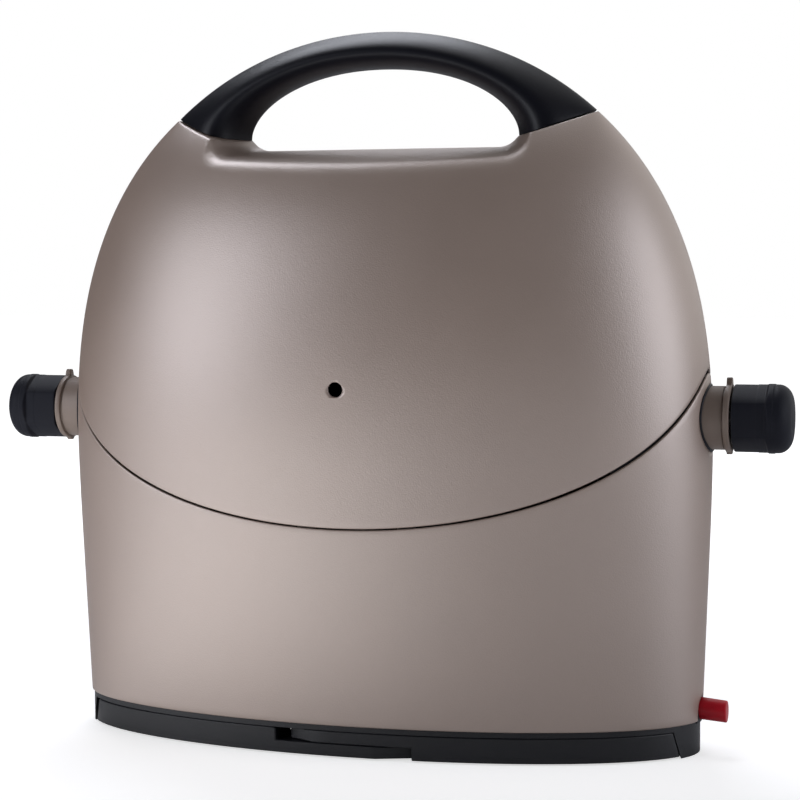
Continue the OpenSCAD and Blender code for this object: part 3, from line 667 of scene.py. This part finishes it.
def collar_grid(cols=360):
    """Lathe loop of [x, radius] corners; a soft bump at top and bottom lifts the flange rows."""
    r0, r1, bore = COLLAR_D/2, FLANGE_R, COLLAR_D/2 - COLLAR_WALL
    profile = np.array([
        [COLLAR_IN, bore], [COLLAR_IN, r0], [FLANGE_X - 1.1, r0], [FLANGE_X - 0.9, r0 - 0.1],
        [FLANGE_X - 0.6, r0 - GROOVE], [FLANGE_X - 0.1, r0 - GROOVE], [FLANGE_X, r0 - GROOVE + 0.1],
        [FLANGE_X, r1 - 0.3], [FLANGE_X + 0.1, r1 - 0.1], [FLANGE_X + 0.3, r1],
        [COLLAR_OUT - 0.5, r1], [COLLAR_OUT - 0.15, r1 - 0.15], [COLLAR_OUT, r1 - 0.5],
        [COLLAR_OUT, bore + 0.5], [COLLAR_OUT - 0.5, bore]])
    a = full_turn(cols)[None, :]
    on_flange = (profile[:, 1] > r1 - 0.6)[:, None]
    up = np.exp(-np.abs((a - np.pi/2)/UP_HALF)**4)
    down = np.exp(-np.abs((a - 3*np.pi/2)/DOWN_HALF)**4)
    r = profile[:, 1:] + on_flange*(LUG_UP*up + LUG_DOWN*down)
    x = np.broadcast_to(profile[:, :1], r.shape)
    return np.stack([x, r*np.cos(a), KNOB_Z + r*np.sin(a)], -1)


ring = collar_grid()
ring_faces = grid_quads(*ring.shape[:2], True, True)
for which, sign in SIDES:
    # The collars' darker paint is painted shade.
    collar = make_piece(which + "_collar", ring*[sign, 1, 1], ring_faces, shaded_collar_paint, COLLAR_SHARP)
    settle(collar, "base", "body_paint", "collar_" + which)

# %% [markdown]
# A thin black ring sits in the bore round each collar: painted shade for the dark gap between collar
# and ear. A flat ring would cut into the curved ear, so the path of this one lies on the body's own
# surface, and a small circle is carried along it.

# %% Painted shade round the collars
SHADE_RING_R, SHADE_RING_T, SHADE_RING_SINK = COLLAR_D/2 + 0.5, 0.85, 0.1


def shade_ring_grid(cols=180, around=12):
    """Small circle carried round the collar on a path that lies on the body's ellipses."""
    a = full_turn(cols)[None, :]
    b = full_turn(around)[:, None]
    y, z = SHADE_RING_R*np.cos(a), KNOB_Z + SHADE_RING_R*np.sin(a)
    r = SHADE_RING_R + SHADE_RING_T*np.cos(b)
    x = half_width(z)*np.sqrt(1 - (y/half_depth(z))**2) + SHADE_RING_T*(np.sin(b) - SHADE_RING_SINK)
    return np.stack([x, r*np.cos(a), KNOB_Z + r*np.sin(a)], -1)


shade_ring_points = shade_ring_grid()
shade_ring_faces = grid_quads(*shade_ring_points.shape[:2], True, True)
for which, sign in SIDES:
    # The black ring is painted shade in the gap of the bore.
    shade_ring = make_piece(which + "_collar_shade_ring", shade_ring_points*[sign, 1, 1], shade_ring_faces, black_moulding)
    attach(shade_ring, "base")

# %% [markdown]
# ## The red cap
# A soft cap closes the gas inlet. It is a plain lathe shape with a flat end, so the radius along the
# axis is nearly all it needs. Being soft, it droops a little.

# %% Cap
CAP_X, CAP_L, CAP_R, CAP_SAG = FOOT_W/2 - 2.6, 16.2, 6.0, 0.09
CAP_SHARP = 50


def cap_grid(cols=96):
    """Lathe rows of [share of length, radius]: rounded mouth, slight taper, flat end that sags."""
    profile = np.array([
        [0, 4.3], [0, 5.5], [0.02, 5.85], [0.06, CAP_R], [0.5, CAP_R - 0.05], [0.955, CAP_R - 0.12],
        [0.978, CAP_R - 0.2], [0.994, CAP_R - 0.42], [1, CAP_R - 0.75], [1, CAP_R - 2], [1, 0.5]])
    a = full_turn(cols)[None, :]
    r = np.broadcast_to(profile[:, 1:], (len(profile), cols))
    x = np.broadcast_to(CAP_X + CAP_L*profile[:, :1], r.shape)
    return np.stack([x, r*np.cos(a), INLET_Z + r*np.sin(a) - CAP_SAG*(x - CAP_X)], -1)


stopper = cap_grid()
cap = make_piece("inlet_stopper", stopper, capped_faces(*stopper.shape[:2]), red_vinyl, CAP_SHARP)
settle(cap, "cap", "red_cap", "inlet_cap")

# %% [markdown]
# ## Base and feet
# The base plate and the four half-lapped feet are straight mouldings, and the CAD shapes are right.
# What they lack is the small radius every moulded edge has. A copy of each mesh is merged, its flat
# faces are joined up, and a Bevel modifier rounds the edges.

# %% Softened copies
MERGE_M = 1e-6
FLAT_DEG, EDGE_DEG = 0.4, 40
EDGE_SEGMENTS = 2


def soften_edges(piece, width_mm):
    """Rounds the piece's sharp edges with a Bevel modifier."""
    bevel = piece.modifiers.new("soft edges", "BEVEL")
    bevel.width, bevel.segments = width_mm*MM, EDGE_SEGMENTS
    bevel.limit_method, bevel.angle_limit = "ANGLE", np.radians(EDGE_DEG)
    bevel.harden_normals = False


def softened_copy(node, name, finish, width_mm):
    """Merged copy of a CAD node's mesh with its flat faces joined and its sharp edges rounded."""
    mesh = nodes[node].data.copy()
    work = bmesh.new()
    work.from_mesh(mesh)
    bmesh.ops.remove_doubles(work, verts=work.verts, dist=MERGE_M)
    bmesh.ops.dissolve_limit(work, angle_limit=np.radians(FLAT_DEG), verts=work.verts, edges=work.edges)
    work.to_mesh(mesh)
    work.free()
    mesh.name = name
    mesh.materials.clear()
    mesh.materials.append(finish)
    mesh.shade_smooth()
    mesh.set_sharp_from_angle(angle=np.radians(SHARP_DEG))
    piece = bpy.data.objects.new(name, mesh)
    bpy.context.scene.collection.objects.link(piece)
    soften_edges(piece, width_mm)
    print(name, len(mesh.polygons), "faces before the bevel")
    return piece


base = softened_copy("base_plate", "base_moulding", black_base, width_mm=0.5)
settle(base, "base", "black_plastic", "base_plate")
for corner in ("fl", "fr", "rl", "rr"):
    foot = softened_copy("foot_" + corner, "foot_moulding_" + corner, black_base, width_mm=0.6)
    settle(foot, "foot_" + corner, "black_plastic", "foot_" + corner)

# %% [markdown]
# ## The working parts inside
# With the wings open, the burners, pans, ribbed plates, valves and hinges show. Their CAD shapes are
# right, so they stay and only get their finish.

# %% Finishes of the CAD nodes
INSIDE = (
    (bright_steel, ("foot_pins", "bracket_front", "bracket_rear", "pin_front", "pin_rear", "front_leaf",
                    "rear_leaf", "front_studs", "rear_studs", "stem_left", "stem_right")),
    (turned_brass, ("valve_left", "valve_right", "manifold")),
    (heated_steel, ("front_pan", "rear_pan", "front_burner", "rear_burner")),
    (cast_coating, ("front_plate", "rear_plate")),
    (foot_rubber, ("pad_fl", "pad_fr", "pad_rl", "pad_rr")))
for finish, dressed in INSIDE:
    for node in dressed:
        nodes[node].data.materials.clear()
        nodes[node].data.materials.append(finish)
    print(finish.name, "on", len(dressed), "CAD nodes")

# %% [markdown]
# ## Floor and light
# The grill stands on white, and the background is white to the camera. What satin paint mirrors is
# another matter: a white sweep behind, a dark side at the left and the unlit room in front. A picture
# of a studio could hold these. A few smooth ramps over the direction of a ray do the same and need no
# file.

# %% World
SURROUND, SEEN = 0.08, 1.0
BACK_GLOW, LEFT_GLOW, ROOM_GLOW = 1.0, 0.03, 0.10
LEFT_SIDE, LEFT_FROM, LEFT_TO = (-0.92, 0.39, 0.0), 0.1, 0.8
ROOM_SIDE, ROOM_FROM, ROOM_TO = (0.19, -0.88, 0.43), -0.35, 0.75
WHITE = (1, 1, 1, 1)


def seen_share(tree):
    """1 for rays that show the background itself, also through glass, and 0 for the rest."""
    path = add_node(tree, "LightPath", {}).outputs
    share = add_node(tree, "Math", {0: path["Is Camera Ray"], 1: path["Is Transmission Ray"]}, "ADD")
    share.use_clamp = True
    return share.outputs[0]


def eased(tree, share, low, high):
    """A value from low to high as the share goes from 0 to 1; both are numbers or sockets."""
    return add_node(tree, "Mix", {"Factor": share, "A": low, "B": high}).outputs["Result"]


def smooth_ramp(tree, value, start, end, low=0.0, high=1.0):
    """Eases from low to high, numbers or sockets, as the value goes from start to end."""
    ramp = add_node(tree, "MapRange", {"Value": value, "From Min": start, "From Max": end,
                                       "To Min": low, "To Max": high})
    ramp.interpolation_type = "SMOOTHSTEP"
    return ramp.outputs["Result"]


def toward(tree, direction, start, end):
    """0 to 1 as the angle to a direction closes: its cosine eased from start to end."""
    aim = add_node(tree, "TexCoord", {}).outputs["Generated"]
    cosine = add_node(tree, "VectorMath", {0: aim, 1: direction}, "DOT_PRODUCT").outputs["Value"]
    return smooth_ramp(tree, cosine, start, end)


world = bpy.data.worlds.new("studio")
bpy.context.scene.world = world
world.use_nodes = True
sky = world.node_tree
behind = eased(sky, toward(sky, LEFT_SIDE, LEFT_FROM, LEFT_TO), BACK_GLOW, LEFT_GLOW)
around = eased(sky, toward(sky, ROOM_SIDE, ROOM_FROM, ROOM_TO), behind, ROOM_GLOW)
glossy = add_node(sky, "LightPath", {}).outputs["Is Glossy Ray"]
mirrored = eased(sky, glossy, SURROUND, around)
backdrop = sky.nodes["Background"]
backdrop.inputs["Color"].default_value = WHITE
sky.links.new(eased(sky, seen_share(sky), mirrored, SEEN), backdrop.inputs["Strength"])
print("world nodes", len(sky.nodes))

# %% [markdown]
# The floor is one large plain sheet. To the camera it glows more with the distance from the grill, so
# it runs into the white background and keeps the shadow close by. To other rays it shows a pool of
# light before the left half. A lamp could make that pool, but then the camera would see it as well.

# %% Floor
FLOOR_HALF, FLOOR_ROUGH = 6.0, 0.9
FLOOR_GREY = (0.8, 0.8, 0.8, 1)
POOL_AT, POOL_NEAR, POOL_FAR, POOL_GLOW = (-0.29, -0.37, 0.0), 0.05, 0.45, 1.75
FRONT_GLOW, FRONT_FROM, FRONT_TO = 0.18, 0.0, -0.2
NEAR_GLOW, NEAR, FAR = 0.62, 0.35, 1.3

corners = np.array([(-1, -1, 0), (1, -1, 0), (1, 1, 0), (-1, 1, 0)])*FLOOR_HALF
floor_mesh = bpy.data.meshes.new("floor")
floor_mesh.from_pydata(corners.tolist(), [], [(0, 1, 2, 3)])
floor_finish = bpy.data.materials.new("white_floor")
floor_finish.use_nodes = True
ground = floor_finish.node_tree
spot = add_node(ground, "TexCoord", {}).outputs["Object"]
forward = add_node(ground, "SeparateXYZ", {"Vector": spot}).outputs["Y"]
front = smooth_ramp(ground, forward, FRONT_FROM, FRONT_TO, 0.0, FRONT_GLOW)
reach = add_node(ground, "VectorMath", {0: spot, 1: POOL_AT}, "DISTANCE").outputs["Value"]
pool = smooth_ramp(ground, reach, POOL_NEAR, POOL_FAR, POOL_GLOW, front)
span = add_node(ground, "VectorMath", {0: spot}, "LENGTH").outputs["Value"]
sweep = smooth_ramp(ground, span, NEAR, FAR, NEAR_GLOW, SEEN)

floor_shader = ground.nodes["Principled BSDF"]
floor_shader.inputs["Base Color"].default_value = FLOOR_GREY
floor_shader.inputs["Roughness"].default_value = FLOOR_ROUGH
floor_shader.inputs["Specular IOR Level"].default_value = 0.0
floor_shader.inputs["Emission Color"].default_value = WHITE
glow = eased(ground, seen_share(ground), pool, sweep)
ground.links.new(glow, floor_shader.inputs["Emission Strength"])
floor_mesh.materials.append(floor_finish)
floor = bpy.data.objects.new("floor", floor_mesh)
bpy.context.scene.collection.objects.link(floor)
print("floor nodes", len(ground.nodes))

# %% [markdown]
# Three soft lamps light the grill. Point lamps would leave hard spots on satin paint, so these are
# large rectangles. A tall one at the left and a weaker one at the right show as upright bands with a
# darker front between them, and one above and behind draws the line along the handle.

# %% Lamps
DAYLIGHT = (0.96, 0.99, 1.08)


def softbox(name, azimuth_deg, distance_mm, height_mm, width_mm, tall_mm, watts):
    """Area lamp at an angle from the front, facing the middle of the grill."""
    lamp = bpy.data.lights.new(name, "AREA")
    lamp.shape, lamp.size, lamp.size_y = "RECTANGLE", width_mm*MM, tall_mm*MM
    lamp.energy = watts
    lamp.color = DAYLIGHT
    stand = bpy.data.objects.new(name, lamp)
    bpy.context.scene.collection.objects.link(stand)
    turn = np.radians(azimuth_deg)
    where = np.array([distance_mm*np.sin(turn), -distance_mm*np.cos(turn), height_mm])
    away = (where - AIM)/np.linalg.norm(where - AIM)
    stand.matrix_world = placed(*level_axes(away), away, where)


softbox("left_lamp", azimuth_deg=-50, distance_mm=1600, height_mm=500,
        width_mm=740, tall_mm=1600, watts=12.4)
softbox("right_lamp", azimuth_deg=82, distance_mm=1300, height_mm=450,
        width_mm=700, tall_mm=1400, watts=7.6)
softbox("back_lamp", azimuth_deg=-150, distance_mm=1030, height_mm=1620,
        width_mm=1050, tall_mm=650, watts=14.0)
scene = bpy.context.scene
scene.view_settings.view_transform = "Standard"
